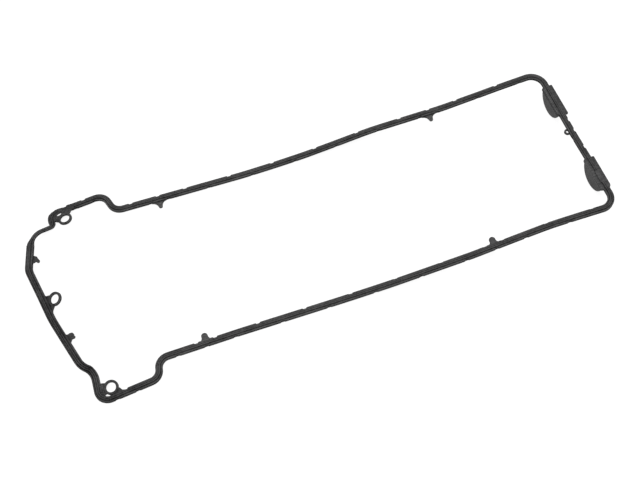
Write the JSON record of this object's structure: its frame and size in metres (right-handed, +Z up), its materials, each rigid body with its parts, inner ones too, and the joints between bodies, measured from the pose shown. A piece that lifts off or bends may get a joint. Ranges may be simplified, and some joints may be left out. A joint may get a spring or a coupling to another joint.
{
  "type": "valve cover gasket",
  "caption": "Moulded rubber gasket that seals a valve cover to a cylinder head, with half-moon plugs at the rear and bolt lugs at the front.",
  "frame": {"origin": "middle of the bounding box, on the surface that the gasket lies on", "axes": "+X along the engine towards the rear end with the half-moon plugs, +Y across it, +Z up, the way the tongue points"},
  "size_m": [0.5218, 0.2004, 0.0177],
  "materials": {
    "black_rubber": "matte, faintly mottled moulded rubber"
  },
  "bodies": {
    "root": {"valve_cover_gasket": "black_rubber"}
  },
  "joints": []
}
